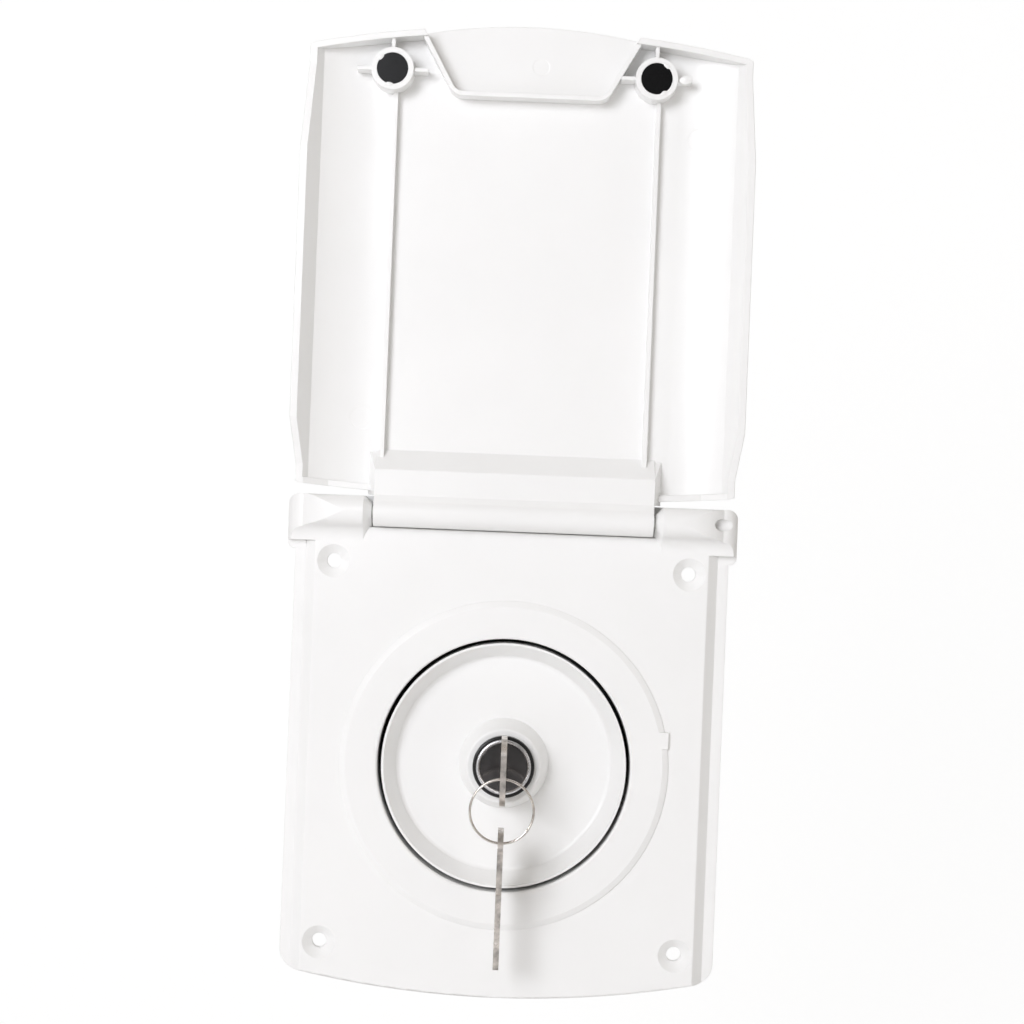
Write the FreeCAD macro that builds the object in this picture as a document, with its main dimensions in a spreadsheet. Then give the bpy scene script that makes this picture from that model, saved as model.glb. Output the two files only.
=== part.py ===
import FreeCAD, Part
import math
import os
import Sketcher
from FreeCAD import Placement, Rotation, Vector

# Caravan water filler hatch: a wall plate with a filler neck, a lockable dish cap and a hinged cover.
# Millimetres. +X is to the right and +Z is up along the wall. +Y goes into the wall.
# The origin is on the axis of the filler neck, in the plane of the wall's outer skin.
# A depth is how far something stands in front of that plane, so a depth of d lies at Y = -d.
# The cover is drawn opened all the way up, flat against the wall.

SIZES = {
    "hinge_height": 88.0,
    "hinge_depth": 9.0,
    "hinge_pin_radius": 2.0,
    "hinge_pin_inset": 13.8,
    "hinge_bore_gap": 0.08,
    "hinge_side_gap": 0.7,
    "plate_side_gap": 0.6,
    "plate_below_keeper": 14.6,
    "plate_bottom_radius": 353.0,
    "plate_corner_radius": 7.0,
    "flange_thickness": 2.6,
    "plateau_inset": 7.4,
    "plateau_slope_width": 3.6,
    "plateau_depth": 6.0,
    "plateau_wall": 2.6,
    "plateau_top": 82.4,
    "plate_edge_round": 0.8,
    "screw_spacing_wide": 126.0,
    "screw_spacing_high": 135.0,
    "screw_centre_height": 2.5,
    "screw_hole_radius": 2.6,
    "screw_head_radius": 5.8,
    "screw_boss_radius": 7.0,
    "ear_round_width": 19.8,
    "ear_slope_width": 5.5,
    "ear_slope_bulge": 1.15,
    "ear_crease_depth": 8.4,
    "ear_edge_depth": 2.0,
    "ear_bevel": 2.8,
    "ear_barrel_radius": 5.4,
    "ear_fairing_radius": 6.0,
    "ear_skirt_radius": 9.0,
    "ear_corner_radius": 4.0,
    "ear_low_corner_radius": 2.5,
    "keeper_radius": 6.0,
    "keeper_thickness": 1.5,
    "keeper_gap": 0.1,
    "keeper_cup_wall": 1.2,
    "neck_flange_radius": 58.2,
    "neck_flange_proud": 1.4,
    "neck_flange_edge": 0.4,
    "neck_flange_bevel": 2.1,
    "neck_mouth_round": 0.8,
    "neck_tab_proud": 0.3,
    "neck_tab_low": 8.0,
    "neck_tab_high": 14.0,
    "neck_step": 1.5,
    "neck_seat_gap": 0.3,
    "neck_bore_radius": 44.75,
    "neck_wall": 2.5,
    "neck_depth": 44.0,
    "neck_lip_radius": 38.5,
    "neck_lip_setback": 14.0,
    "neck_lip_thickness": 3.0,
    "neck_slot_gap": 0.9,
    "hose_tail_radius": 20.0,
    "hose_tail_wall": 2.5,
    "hose_tail_length": 42.0,
    "hose_tail_drop": 22.0,
    "vent_tail_radius": 6.25,
    "vent_tail_wall": 1.5,
    "vent_tail_length": 28.0,
    "vent_tail_rise": 31.0,
    "cap_radius": 43.3,
    "cap_rim_width": 0.9,
    "cap_rim_depth": 7.2,
    "cap_wall_draft": 3.6,
    "cap_floor_setback": 2.0,
    "cap_floor_thickness": 2.4,
    "cap_floor_round": 1.6,
    "cap_skirt_wall": 2.4,
    "cap_skirt_taper": 1.0,
    "cap_seat_gap": 0.3,
    "cap_collar_base": 16.0,
    "cap_collar_top": 13.2,
    "cap_collar_depth": 9.2,
    "cap_collar_round": 0.8,
    "cap_boss_radius": 13.0,
    "cap_boss_setback": 8.5,
    "seal_height": 2.4,
    "seal_root_depth": 1.4,
    "seal_setback": 4.8,
    "seal_gap": 0.3,
    "lock_face_depth": 12.0,
    "lock_bezel_radius": 10.9,
    "lock_bezel_round": 0.6,
    "lock_body_radius": 9.5,
    "lock_body_setback": 15.6,
    "lock_flat": 8.2,
    "lock_hole_gap": 0.1,
    "trim_ring_width": 1.3,
    "trim_ring_proud": 0.35,
    "plug_head_radius": 8.35,
    "plug_head_thickness": 1.5,
    "plug_radius": 6.5,
    "plug_gap": 0.07,
    "plug_post_radius": 4.6,
    "plug_post_flat": 3.4,
    "keyway_width": 2.3,
    "keyway_height": 8.4,
    "keyway_setback": 13.5,
    "wafer_thickness": 1.0,
    "wafer_width": 5.0,
    "wafer_height": 11.8,
    "wafer_gap": 0.06,
    "wafer_pitch": 3.4,
    "first_wafer_depth": 6.0,
    "washer_thickness": 1.0,
    "washer_radius": 13.0,
    "nut_thickness": 4.0,
    "nut_across_flats": 23.0,
    "bar_length": 85.0,
    "bar_width": 12.0,
    "bar_thickness": 2.0,
    "bar_lip_gap": 0.3,
    "bar_hub_radius": 8.5,
    "bar_screw_radius": 2.0,
    "bar_screw_head_radius": 4.0,
    "bar_screw_head_thickness": 2.2,
    "bar_screw_length": 5.0,
    "cross_arm_share": 0.6,
    "cross_blade_share": 0.14,
    "bar_washer_radius": 6.0,
    "bar_washer_thickness": 0.8,
    "key_thickness": 2.0,
    "key_blade_height": 8.0,
    "key_length": 48.0,
    "key_bow_length": 21.0,
    "key_bow_width": 23.0,
    "key_hole_radius": 3.0,
    "key_hole_edge": 4.0,
    "key_cut_depth": 0.9,
    "key_cut_mouth_share": 0.4,
    "key_cut_floor_share": 0.15,
    "key_ring_radius": 11.0,
    "key_wire_radius": 0.5,
    "key_wire_gap": 0.06,
    "lid_half_width": 79.8,
    "lid_length": 172.1,
    "lid_hinge_edge": 5.9,
    "lid_hinge_edge_radius": 900.0,
    "lid_free_edge_radius": 370.0,
    "lid_corner_radius": 5.0,
    "lid_wall": 2.2,
    "lid_back_depth": 0.5,
    "lid_rim_depth": 14.8,
    "lid_free_rim_depth": 11.5,
    "lid_hinge_rim_depth": 6.0,
    "lid_hinge_rim_inset": 5.3,
    "lid_hinge_rim_rise": 8.5,
    "lid_hinge_rim_length": 6.0,
    "lid_corner_rim_depth": 10.6,
    "lid_ear_gap": 1.5,
    "lid_rim_rise": 16.5,
    "lid_rim_fall_start": 45.0,
    "lid_rim_fall_end": 15.0,
    "lid_crown_width": 25.8,
    "lid_side_width": 4.8,
    "lid_crease_depth": 6.5,
    "lid_inner_crease_share": 0.6,
    "lid_knuckle_half_width": 49.3,
    "lid_knuckle_radius": 5.2,
    "lid_block_spread": 2.7,
    "lid_block_top": 16.1,
    "lid_block_slope": 7.0,
    "lid_rib_thickness": 1.6,
    "lid_rib_depth": 6.2,
    "lid_rib_start": 6.0,
    "lid_rib_shift": 1.0,
    "magnet_spread": 46.5,
    "magnet_shift": 2.3,
    "magnet_inset": 16.2,
    "magnet_radius": 5.5,
    "magnet_thickness": 4.0,
    "magnet_gap": 0.05,
    "boss_radius": 7.5,
    "gusset_thickness": 1.3,
    "gusset_length": 5.0,
    "gusset_step": 1.2,
    "pocket_half_width": 39.0,
    "pocket_inner_half_width": 26.1,
    "pocket_length": 23.0,
    "pocket_wall": 1.6,
    "pocket_round": 4.0,
    "pocket_rim_depth": 10.4,
    "pull_lip_proud": 1.9,
    "pull_lip_root": 4.0,
}

doc = FreeCAD.newDocument("water_filler_hatch")


class Size:
    """A length, with the formula that gives it from the cells of the sheet."""

    def __init__(self, number, formula):
        self.number = number
        self.formula = formula

    def __float__(self):
        return self.number

    def __neg__(self):
        return Size(-self.number, "(0 - " + self.formula + ")")

    def __add__(self, other):
        return joined(self, other, float(self) + float(other), " + ")

    def __radd__(self, other):
        return joined(other, self, float(other) + float(self), " + ")

    def __sub__(self, other):
        return joined(self, other, float(self) - float(other), " - ")

    def __rsub__(self, other):
        return joined(other, self, float(other) - float(self), " - ")

    def __mul__(self, other):
        return joined(self, other, float(self) * float(other), " * ")

    def __rmul__(self, other):
        return joined(other, self, float(other) * float(self), " * ")

    def __truediv__(self, other):
        return joined(self, other, float(self) / float(other), " / ")

    def __rtruediv__(self, other):
        return joined(other, self, float(other) / float(self), " / ")


def formula_of(value):
    if isinstance(value, Size):
        return value.formula
    return repr(float(value))


def joined(left, right, number, sign):
    return Size(number, "(" + formula_of(left) + sign + formula_of(right) + ")")


def root(value):
    return Size(math.sqrt(float(value)), "sqrt(" + formula_of(value) + ")")


def square(value):
    return value * value


def bind(thing, place, value):
    """Tie a property of a feature to the cells that give its value."""
    thing.setExpression(place, formula_of(value))


def fill_sheet():
    """Write the driving sizes into the sheet, and hand back each one by its name."""
    sheet = doc.addObject("Spreadsheet::Sheet", "sizes")
    found = {}
    for row, (name, value) in enumerate(SIZES.items(), start=1):
        sheet.set("A" + str(row), name)
        sheet.set("B" + str(row), str(value))
        sheet.setAlias("B" + str(row), name)
        found[name] = Size(float(value), "sizes." + name)
    doc.recompute()
    return found


size = fill_sheet()


def new_body(name):
    return doc.addObject("PartDesign::Body", name)


def sketch_on(body, plane, offset=0.0):
    """A sketch on a main plane of the body, moved along the plane's normal.

    On XZ_Plane the offset is a depth in front of the wall, on XY_Plane a height, on YZ_Plane an x.
    """
    sketch = body.newObject("Sketcher::SketchObject", body.Name + "_sketch")
    support = [item for item in body.Origin.OriginFeatures if item.Role == plane][0]
    sketch.AttachmentSupport = [(support, "")]
    sketch.MapMode = "FlatFace"
    bind(sketch, "AttachmentOffset.Base.z", offset)
    return sketch


def pin_point(sketch, geometry, end, x, y):
    """Fix one end of a line or arc at its distances from the sketch's origin."""
    for kind, value in (("DistanceX", x), ("DistanceY", y)):
        index = sketch.addConstraint(Sketcher.Constraint(kind, -1, 1, geometry, end, float(value)))
        if isinstance(value, Size):
            bind(sketch, "Constraints[" + str(index) + "]", value)


def draw(sketch, steps):
    """Draw a closed outline. A step is (x, y), or (x, y, radius, turn) when an arc leads to it.

    A turn of 1 runs the arc anticlockwise, and a turn of -1 runs it clockwise.
    """
    ends = []
    for index, step in enumerate(steps):
        before = steps[index - 1]
        first = Vector(float(before[0]), float(before[1]), 0)
        last = Vector(float(step[0]), float(step[1]), 0)
        if len(step) == 2:
            edge = sketch.addGeometry(Part.LineSegment(first, last), False)
            ends.append((edge, 1, 2))
            continue
        radius, turn = float(step[2]), step[3]
        chord = last - first
        rise = radius - math.sqrt(max(radius ** 2 - (chord.Length / 2) ** 2, 0.0))
        aside = Vector(chord.y, -chord.x, 0).normalize()
        middle = (first + last) / 2 + aside * (rise * turn)
        edge = sketch.addGeometry(Part.Arc(first, middle, last), False)
        ends.append((edge, 1, 2) if turn > 0 else (edge, 2, 1))
        held = sketch.addConstraint(Sketcher.Constraint("Radius", edge, radius))
        if isinstance(step[2], Size):
            bind(sketch, "Constraints[" + str(held) + "]", step[2])
    for index, (edge, _, tail) in enumerate(ends):
        following, head, _ = ends[(index + 1) % len(ends)]
        sketch.addConstraint(Sketcher.Constraint("Coincident", edge, tail, following, head))
        pin_point(sketch, edge, tail, steps[index][0], steps[index][1])


def ring(sketch, x, y, radius):
    """Draw a circle."""
    circle = Part.Circle(Vector(float(x), float(y), 0), Vector(0, 0, 1), float(radius))
    edge = sketch.addGeometry(circle, False)
    pin_point(sketch, edge, 3, x, y)
    index = sketch.addConstraint(Sketcher.Constraint("Radius", edge, float(radius)))
    if isinstance(radius, Size):
        bind(sketch, "Constraints[" + str(index) + "]", radius)


def rectangle(low_x, low_y, high_x, high_y):
    return [(low_x, low_y), (high_x, low_y), (high_x, high_y), (low_x, high_y)]


def pad(body, sketch, length, back=False):
    """Add material along the sketch's normal, or against it."""
    feature = body.newObject("PartDesign::Pad", body.Name + "_pad")
    feature.Profile = sketch
    feature.Reversed = back
    bind(feature, "Length", length)
    doc.recompute()
    return feature


def pocket(body, sketch, length, ahead=False):
    """Cut against the sketch's normal, or along it, and make sure that the cut took something away."""
    volume = body.Shape.Volume
    feature = body.newObject("PartDesign::Pocket", body.Name + "_pocket")
    feature.Profile = sketch
    feature.Reversed = ahead
    bind(feature, "Length", length)
    doc.recompute()
    if feature.Shape.Volume >= volume:
        raise RuntimeError(feature.Label + " removes nothing")
    return feature


def revolve(body, sketch):
    """Turn the sketch all the way round its own vertical axis."""
    feature = body.newObject("PartDesign::Revolution", body.Name + "_turned")
    feature.Profile = sketch
    feature.ReferenceAxis = (sketch, ["V_Axis"])
    feature.Angle = 360.0
    doc.recompute()
    return feature


close_enough = 0.01


def near(value, target):
    return abs(value - float(target)) < close_enough


def edges_where(shape, test):
    """The names of the edges whose box passes the test."""
    return ["Edge" + str(index) for index, edge in enumerate(shape.Edges, start=1) if test(edge.BoundBox)]


def dress(body, kind, value, test):
    """Round or bevel the edges of the body's last feature that pass the test."""
    last = body.Tip
    names = edges_where(last.Shape, test)
    if not names:
        raise RuntimeError(body.Label + " has no such edge to dress")
    feature = body.newObject("PartDesign::" + kind, body.Name + "_" + kind.lower())
    feature.Base = (last, names)
    bind(feature, "Radius" if kind == "Fillet" else "Size", value)
    doc.recompute()
    return feature


def upright(x, z, box):
    """Whether an edge runs straight out from the wall at this x and z."""
    return near(box.XMin, x) and near(box.XMax, x) and near(box.ZMin, z) and near(box.ZMax, z)


def box_at(name, low, high):
    """A block between two corners."""
    block = doc.addObject("Part::Box", name)
    for side, start, end in zip("xyz", low, high):
        bind(block, "Placement.Base." + side, start)
    bind(block, "Length", high[0] - low[0])
    bind(block, "Width", high[1] - low[1])
    bind(block, "Height", high[2] - low[2])
    return block


def rod_across(name, start, length, depth, height, radius):
    """A round rod along +X."""
    rod = doc.addObject("Part::Cylinder", name)
    rod.Placement = Placement(Vector(0, 0, 0), Rotation(Vector(0, 1, 0), 90))
    bind(rod, "Placement.Base.x", start)
    bind(rod, "Placement.Base.y", -depth)
    bind(rod, "Placement.Base.z", height)
    bind(rod, "Radius", radius)
    bind(rod, "Height", length)
    return rod


def rod_out(name, x, z, low_depth, high_depth, radius):
    """A round rod that stands straight out from the wall between two depths."""
    rod = doc.addObject("Part::Cylinder", name)
    rod.Placement = Placement(Vector(0, 0, 0), Rotation(Vector(1, 0, 0), 90))
    bind(rod, "Placement.Base.x", x)
    bind(rod, "Placement.Base.y", -low_depth)
    bind(rod, "Placement.Base.z", z)
    bind(rod, "Radius", radius)
    bind(rod, "Height", high_depth - low_depth)
    return rod


def fuse(name, pieces):
    joint = doc.addObject("Part::MultiFuse", name)
    joint.Shapes = pieces
    joint.Refine = True
    return joint


def common(name, pieces):
    shared = doc.addObject("Part::MultiCommon", name)
    shared.Shapes = pieces
    shared.Refine = True
    return shared


def cut(name, piece, tool):
    rest = doc.addObject("Part::Cut", name)
    rest.Base = piece
    rest.Tool = tool
    rest.Refine = True
    return rest


def mirrored(name, piece):
    """The same piece on the other side of the hatch's middle plane."""
    copy = doc.addObject("Part::Mirroring", name)
    copy.Source = piece
    copy.Normal = Vector(1, 0, 0)
    return copy


nodes = []


def keep(node, label):
    """Name a finished piece, and list it for export."""
    node.Label = label
    nodes.append(node)
    return node


beyond = 5.0
just_past = 1.0
wafer_count = 5
hinge_z = size["hinge_height"]
hinge_d = size["hinge_depth"]
plateau_d = size["plateau_depth"]
flange_d = size["flange_thickness"]
ear_inner = size["lid_knuckle_half_width"] + size["hinge_side_gap"]
ear_outer = size["lid_half_width"]
pin_half = ear_outer - size["hinge_pin_inset"]
plate_w = ear_outer - size["lid_wall"] - size["plate_side_gap"]
plate_top = hinge_z + size["ear_barrel_radius"]
plateau_w = plate_w - size["plateau_inset"]
plateau_edge = plateau_w + size["plateau_slope_width"]
magnet_reach = size["lid_length"] - size["magnet_inset"]
magnet_z = hinge_z + magnet_reach
keeper_z = hinge_z - magnet_reach
plate_bottom = size["plate_below_keeper"] - keeper_z
neck_outer = size["neck_bore_radius"] + size["neck_wall"]
bar_front = size["neck_lip_setback"] + size["neck_lip_thickness"] + size["bar_lip_gap"]
plug_end = bar_front - size["keeper_gap"] / 2


def magnet_x(side):
    """Where a magnet and its keeper lie: the pair stands a little to the left of the middle."""
    return side * size["magnet_spread"] - size["magnet_shift"]


def arc_rise(radius, half_chord):
    """How far an arc stands off its chord."""
    return radius - root(square(radius) - square(half_chord))


def fairing(radius, floor_depth):
    """The height at which an ear's fairing leaves its floor, and the y and z where it meets the barrel."""
    reach = size["ear_barrel_radius"] + radius
    aside = floor_depth + radius - hinge_d
    drop = root(square(reach) - square(aside))
    share = size["ear_barrel_radius"] / reach
    return hinge_z - drop, -(hinge_d + aside * share), hinge_z - drop * share


def ear_section(body, offset, radius, floor_depth):
    """The side view of an ear: the barrel round the pin, and its hollow fairing down to the floor."""
    foot, meet_y, meet_z = fairing(radius, floor_depth)
    barrel = size["ear_barrel_radius"]
    sketch = sketch_on(body, "YZ_Plane", offset)
    draw(sketch, [
        (0.0, foot),
        (0.0, plate_top),
        (-hinge_d, plate_top),
        (-(hinge_d + barrel), hinge_z, barrel, 1),
        (meet_y, meet_z, barrel, 1),
        (-floor_depth, foot, radius, -1),
    ])
    return sketch


def make_ear():
    """The right-hand hinge ear, with its bevelled inner end and its rounded-off outer end."""
    ear = new_body("ear")
    inner, outer = ear_inner, ear_outer
    pad(ear, ear_section(ear, inner, size["ear_fairing_radius"], plateau_d), outer - inner)
    front = hinge_d + size["ear_barrel_radius"]
    dress(ear, "Chamfer", size["ear_bevel"],
          lambda box: (near(box.XMin, inner) and near(box.XMax, inner)
                       and box.YMin < -float(hinge_d) - close_enough))
    pad(ear, ear_section(ear, plateau_edge, size["ear_skirt_radius"], flange_d), outer - plateau_edge)
    end = sketch_on(ear, "XY_Plane", 0.0)
    crease, crease_d = outer - size["ear_slope_width"], size["ear_crease_depth"]
    edge_d = size["ear_edge_depth"]
    slope_r = (square(outer - crease) + square(crease_d - edge_d)) / (2 * (crease_d - edge_d))
    round_start = outer - size["ear_round_width"]
    round_r = (square(crease - round_start) + square(front - crease_d)) / (2 * (front - crease_d))
    draw(end, [
        (round_start, -(front + beyond)),
        (outer + beyond, -(front + beyond)),
        (outer + beyond, -edge_d),
        (outer, -edge_d),
        (crease, -crease_d, slope_r * size["ear_slope_bulge"], -1),
        (round_start, -front, round_r, -1),
    ])
    pocket(ear, end, plate_top + beyond, ahead=True)
    foot = fairing(size["ear_skirt_radius"], flange_d)[0]
    for height, way, turn, corner in (
        (plate_top, 1, 1, size["ear_corner_radius"]),
        (foot, -1, -1, size["ear_low_corner_radius"]),
    ):
        off = sketch_on(ear, "XZ_Plane", front + beyond)
        draw(off, [
            (outer - corner, height + way * beyond),
            (outer + beyond, height + way * beyond),
            (outer + beyond, height - way * corner),
            (outer, height - way * corner),
            (outer - corner, height, corner, turn),
        ])
        pocket(ear, off, front + 2 * beyond)
    return ear


def make_base_plate():
    """The moulded wall plate: a raised field on a thin flange, the hinge ears and the seat of the neck."""
    plate = new_body("plate_body")
    bottom_r = size["plate_bottom_radius"]
    corner_z = arc_rise(bottom_r, plate_w) - plate_bottom
    plan = sketch_on(plate, "XZ_Plane", 0.0)
    draw(plan, [
        (plate_w, plate_top),
        (-plate_w, plate_top),
        (-plate_w, corner_z),
        (plate_w, corner_z, bottom_r, 1),
    ])
    pad(plate, plan, plateau_d)
    dress(plate, "Fillet", size["plate_corner_radius"],
          lambda box: upright(plate_w, corner_z, box) or upright(-plate_w, corner_z, box))

    for side in (1, -1):
        slope = sketch_on(plate, "XY_Plane", -(plate_bottom + beyond))
        draw(slope, [
            (side * plateau_w, -plateau_d),
            (side * plateau_edge, -flange_d),
            (side * (plate_w + beyond), -flange_d),
            (side * (plate_w + beyond), -(plateau_d + beyond)),
            (side * plateau_w, -(plateau_d + beyond)),
        ])
        pocket(plate, slope, plate_bottom + plate_top + 2 * beyond, ahead=True)
    dress(plate, "Fillet", size["plate_edge_round"],
          lambda box: near(box.YMin, -plateau_d) and near(box.YMax, -plateau_d) and box.ZMin < 0)

    top = sketch_on(plate, "XZ_Plane", plateau_d)
    draw(top, rectangle(-(plate_w + beyond), size["plateau_top"], plate_w + beyond, plate_top + beyond))
    pocket(plate, top, plateau_d - flange_d)

    wall = size["plateau_wall"]
    hollow_w = plateau_w - wall
    hollow_low = arc_rise(bottom_r, hollow_w) - plate_bottom + wall
    hollow = sketch_on(plate, "XZ_Plane", 0.0)
    draw(hollow, [
        (hollow_w, size["plateau_top"] - wall),
        (-hollow_w, size["plateau_top"] - wall),
        (-hollow_w, hollow_low),
        (hollow_w, hollow_low, bottom_r, 1),
    ])
    pocket(plate, hollow, plateau_d - wall, ahead=True)

    screw_x = size["screw_spacing_wide"] / 2
    screw_z = size["screw_spacing_high"] / 2
    spots = [(sx * screw_x, size["screw_centre_height"] + sz * screw_z) for sx in (1, -1) for sz in (1, -1)]
    for x, z in spots:
        boss = sketch_on(plate, "XZ_Plane", 0.0)
        ring(boss, x, z, size["screw_boss_radius"])
        pad(plate, boss, plateau_d - wall / 2)
    collar = sketch_on(plate, "XZ_Plane", 0.0)
    hole_r = neck_outer + size["neck_step"] + size["neck_seat_gap"]
    ring(collar, 0.0, 0.0, hole_r + wall)
    pad(plate, collar, plateau_d - wall / 2)
    hole = sketch_on(plate, "XZ_Plane", plateau_d + beyond)
    ring(hole, 0.0, 0.0, hole_r)
    pocket(plate, hole, plateau_d + 2 * beyond)
    for x, z in spots:
        hole = sketch_on(plate, "XZ_Plane", plateau_d + beyond)
        ring(hole, x, z, size["screw_hole_radius"])
        pocket(plate, hole, plateau_d + 2 * beyond)
    rim = size["screw_hole_radius"]
    dress(plate, "Chamfer", size["screw_head_radius"] - rim,
          lambda box: (near(box.YMax, -plateau_d) and near(box.XLength, 2 * rim)
                       and near(box.ZLength, 2 * rim)))
    for side in (1, -1):
        cup = sketch_on(plate, "XZ_Plane", plateau_d - wall)
        cup_r = size["keeper_radius"] + size["keeper_gap"]
        ring(cup, magnet_x(side), keeper_z, cup_r + size["keeper_cup_wall"])
        ring(cup, magnet_x(side), keeper_z, cup_r)
        pad(plate, cup, size["keeper_thickness"], back=True)

    ear = make_ear()
    whole = fuse("plate_with_ears", [plate, ear, mirrored("ear_left", ear)])
    bore_r = size["hinge_pin_radius"] + size["hinge_bore_gap"]
    blind = pin_half + size["keeper_gap"]
    bore = rod_across("ear_bore", -blind, blind + ear_outer + beyond, hinge_d, hinge_z, bore_r)
    return keep(cut("base_plate", whole, bore), "base_plate")


def make_hinge_pin():
    pin = rod_across("hinge_pin", -pin_half, 2 * pin_half, hinge_d, hinge_z, size["hinge_pin_radius"])
    keep(pin, "hinge_pin")


def make_keepers():
    """Steel discs behind the plate, which the cover's magnets pull to."""
    for side, label in ((-1, "keeper_left"), (1, "keeper_right")):
        face = plateau_d - size["plateau_wall"]
        disc = rod_out(label, magnet_x(side), keeper_z, face - size["keeper_thickness"], face,
                       size["keeper_radius"])
        keep(disc, label)


def make_filler_neck():
    """The filler neck: a bevelled flange on the plate, a wide bore with a slotted lip, and the two tails."""
    neck = new_body("filler_neck")
    bore, back = size["neck_bore_radius"], size["neck_depth"]
    lip_y = size["neck_lip_setback"]
    lip_back = lip_y + size["neck_lip_thickness"]
    face = -(plateau_d + size["neck_flange_proud"])
    flange_r, bevel = size["neck_flange_radius"], size["neck_flange_bevel"]
    mouth, spigot = size["neck_mouth_round"], neck_outer + size["neck_step"]
    profile = sketch_on(neck, "XY_Plane", 0.0)
    draw(profile, [
        (bore, face + mouth),
        (bore + mouth, face, mouth, 1),
        (flange_r - bevel, face),
        (flange_r, -(plateau_d + size["neck_flange_edge"])),
        (flange_r, -plateau_d),
        (spigot, -plateau_d),
        (spigot, 0.0),
        (neck_outer, 0.0),
        (neck_outer, back),
        (0.0, back),
        (0.0, back - size["neck_wall"]),
        (bore, back - size["neck_wall"]),
        (bore, lip_back),
        (size["neck_lip_radius"], lip_back),
        (size["neck_lip_radius"], lip_y),
        (bore, lip_y),
    ])
    revolve(neck, profile)
    tab_x = root(square(flange_r) - square(size["neck_tab_low"])) + size["neck_tab_proud"]
    tab = sketch_on(neck, "XZ_Plane", plateau_d)
    draw(tab, rectangle(flange_r - 2 * bevel, size["neck_tab_low"], tab_x, size["neck_tab_high"]))
    pad(neck, tab, size["neck_flange_proud"])
    slot = sketch_on(neck, "XZ_Plane", -(lip_y - just_past))
    half_bar = size["bar_width"] / 2 + size["neck_slot_gap"]
    reach = size["bar_length"] / 2 + size["neck_slot_gap"]
    draw(slot, rectangle(-reach, -half_bar, reach, half_bar))
    pocket(neck, slot, size["neck_lip_thickness"] + 2 * just_past)
    for height, radius, wall, length in (
        (-size["hose_tail_drop"], size["hose_tail_radius"], size["hose_tail_wall"], size["hose_tail_length"]),
        (size["vent_tail_rise"], size["vent_tail_radius"], size["vent_tail_wall"], size["vent_tail_length"]),
    ):
        tail = sketch_on(neck, "XZ_Plane", -back)
        ring(tail, 0.0, height, radius)
        pad(neck, tail, length, back=True)
        way = sketch_on(neck, "XZ_Plane", -(back + length + beyond))
        ring(way, 0.0, height, radius - wall)
        pocket(neck, way, size["neck_wall"] + length + beyond + just_past, ahead=True)
    keep(neck, "filler_neck")


def make_filler_cap():
    """The dished cap: a thin rim, a drafted wall, a floor with a raised collar, and a grooved skirt."""
    cap = new_body("filler_cap")
    outer = size["cap_radius"]
    rim_in = outer - size["cap_rim_width"]
    face = -size["cap_rim_depth"]
    floor_y = size["cap_floor_setback"]
    under = floor_y + size["cap_floor_thickness"]
    skirt_end = size["neck_lip_setback"] - size["cap_seat_gap"]
    hole = size["lock_body_radius"] + size["lock_hole_gap"]
    seal_y = size["seal_setback"]
    root_r = outer - size["seal_root_depth"]
    floor_r = rim_in - size["cap_wall_draft"]
    blend = size["cap_floor_round"]
    top_r, top_y = size["cap_collar_top"], -size["cap_collar_depth"]
    lean, height = size["cap_collar_base"] - top_r, floor_y - top_y
    flank = root(square(lean) + square(height))
    soft = size["cap_collar_round"]
    soft_r = soft * root((flank + lean) / (flank - lean))
    profile = sketch_on(cap, "XY_Plane", 0.0)
    draw(profile, [
        (outer, face),
        (rim_in, face),
        (floor_r, floor_y - blend),
        (floor_r - blend, floor_y, blend, 1),
        (size["cap_collar_base"], floor_y),
        (top_r + soft * lean / flank, top_y + soft * height / flank),
        (top_r - soft, top_y, soft_r, -1),
        (hole, top_y),
        (hole, size["cap_boss_setback"]),
        (size["cap_boss_radius"], size["cap_boss_setback"]),
        (size["cap_boss_radius"], under),
        (outer - size["cap_skirt_wall"] - size["cap_skirt_taper"], under),
        (outer - size["cap_skirt_wall"], skirt_end),
        (outer, skirt_end),
        (outer, seal_y + size["seal_height"]),
        (root_r, seal_y + size["seal_height"]),
        (root_r, seal_y),
        (outer, seal_y),
    ])
    revolve(cap, profile)
    keep(cap, "filler_cap")


def make_cap_seal():
    """The rubber ring in the cap's groove, with a rounded lip that stands towards the neck's bore."""
    seal = new_body("cap_seal")
    gap = size["keeper_gap"] / 2
    low = size["seal_setback"] + gap
    high = size["seal_setback"] + size["seal_height"] - gap
    root_r = size["cap_radius"] - size["seal_root_depth"] + gap
    lip_r = size["neck_bore_radius"] - size["seal_gap"]
    lip = (high - low) / 4
    profile = sketch_on(seal, "XY_Plane", 0.0)
    draw(profile, [
        (root_r, low),
        (size["cap_radius"], low),
        (lip_r, low + lip),
        (lip_r, high - lip),
        (size["cap_radius"], high),
        (root_r, high),
    ])
    revolve(seal, profile)
    keep(seal, "cap_seal")


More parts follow.
